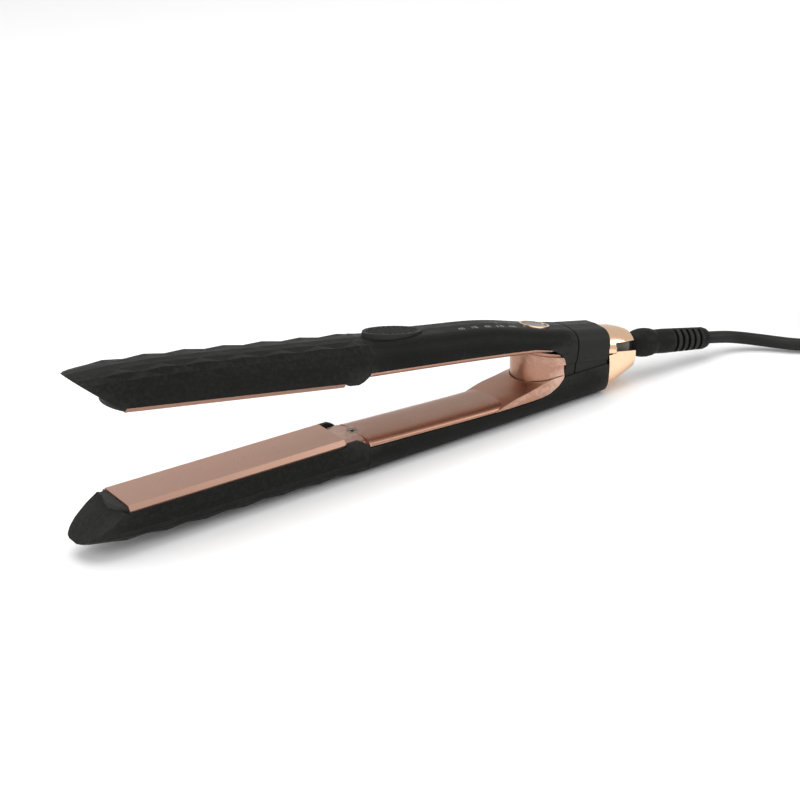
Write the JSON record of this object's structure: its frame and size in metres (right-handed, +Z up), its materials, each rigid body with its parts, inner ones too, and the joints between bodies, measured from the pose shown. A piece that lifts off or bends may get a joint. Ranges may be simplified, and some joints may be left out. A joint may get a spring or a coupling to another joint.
{
  "type": "flat iron",
  "caption": "Hair-straightening flat iron: two sprung arms on a hinge, floating heated plates, power button, indicator lights and a swivel cord with a plug.",
  "frame": {"origin": "centre of the iron without its cord, on the surface that the lower arm lies on", "axes": "+X from the tips towards the hinge and the cord, +Y across the iron, +Z up; the lower arm lies on the strip along its belly, tips raised by 1 degree, and the upper arm is open above it"},
  "size_m": [0.6412, 0.071, 0.0844],
  "materials": {
    "black_shell": "soft-touch, fine grain",
    "rose_metal": "satin rose-gold metallic, slightly worn",
    "rose_chrome": "polished rose-gold plating",
    "plate_ceramic": "satin copper-rose ceramic coating",
    "tip_plastic": "heat-resistant, matte",
    "cord_rubber": "matte, lightly ribbed",
    "relief_rubber": "satin",
    "steel": "brushed",
    "black_screw": "blackened, worn edges",
    "heater_ceramic": "fired ceramic, matte",
    "carrier_plastic": "glass-filled, matte",
    "silicone": "matte silicone",
    "lead_insulation": "silicone-sleeved",
    "circuit_board": "solder-masked",
    "switch_plastic": "matte",
    "led": "frosted",
    "light_pipe": "frosted",
    "button_black": "satin gloss",
    "plug_plastic": "semi-gloss",
    "plug_brass": "nickel-tinted, polished",
    "tie_fabric": "woven"
  },
  "bodies": {
    "lower_arm": {"lower_shell": "black_shell", "lower_inner_cover": "rose_metal", "lower_tip_cap": "tip_plastic", "lower_cover_screw": "black_screw", "lower_collar": "rose_chrome", "lower_hinge_bracket": "steel", "hinge_pin": "steel", "hinge_washers": "steel", "swivel_core": "carrier_plastic", "opening_spring": "steel", "lower_heater_leads": "lead_insulation", "lower_plate_pads": "silicone", "power_cord": "cord_rubber", "cord_hank": "cord_rubber", "cord_tie": "tie_fabric", "plug_body": "plug_plastic", "plug_pins": "plug_brass"},
    "lower_floating_plate": {"lower_plate": "plate_ceramic", "lower_heater": "heater_ceramic", "lower_plate_carrier": "carrier_plastic"},
    "upper_arm": {"upper_shell": "black_shell", "hinge_cover": "black_shell", "upper_inner_cover": "rose_metal", "upper_tip_cap": "tip_plastic", "upper_cover_screw": "black_screw", "upper_collar": "rose_chrome", "upper_hinge_bracket": "steel", "thumb_rest": "tip_plastic", "button_bezel": "rose_chrome", "control_board": "circuit_board", "board_screws": "steel", "tact_switch": "switch_plastic", "indicator_leds": "led", "indicator_light_pipes": "light_pipe", "upper_heater_leads": "lead_insulation", "upper_plate_pads": "silicone"},
    "upper_floating_plate": {"upper_plate": "plate_ceramic", "upper_heater": "heater_ceramic", "upper_plate_carrier": "carrier_plastic"},
    "button": {"power_button": "button_black"},
    "cord_swivel": {"strain_relief": "relief_rubber", "swivel_retainer": "steel"}
  },
  "joints": [
    {"name": "arm_hinge", "type": "hinge", "parent": "lower_arm", "child": "upper_arm", "pos_m": [0.1121, 0, 0.02055], "axis": [0, -1, 0], "range_deg": [0, 9.1], "stiffness_Nm_per_rad": 2, "springref_deg": -14.32, "deforming": ["opening_spring"]},
    {"name": "lower_plate_float", "type": "slide", "parent": "lower_arm", "child": "lower_floating_plate", "axis": [-0.0174, 0, -0.9998], "range_m": [0, 0.0008], "stiffness_N_per_m": 3000, "springref_m": -0.0005, "deforming": ["lower_plate_pads"]},
    {"name": "upper_plate_float", "type": "slide", "parent": "upper_arm", "child": "upper_floating_plate", "axis": [0.1754, 0, 0.9845], "range_m": [0, 0.0008], "stiffness_N_per_m": 3000, "springref_m": -0.0005, "deforming": ["upper_plate_pads"]},
    {"name": "power_button_press", "type": "slide", "parent": "upper_arm", "child": "button", "axis": [-0.2857, 0, -0.9583], "range_m": [0, 0.0005], "stiffness_N_per_m": 600, "springref_m": -0.0005},
    {"name": "cord_swivel_turn", "type": "hinge", "parent": "lower_arm", "child": "cord_swivel", "pos_m": [0.1146, 0, 0.02041], "axis": [0.9806, -0.1034, -0.1667], "continuous": true}
  ]
}
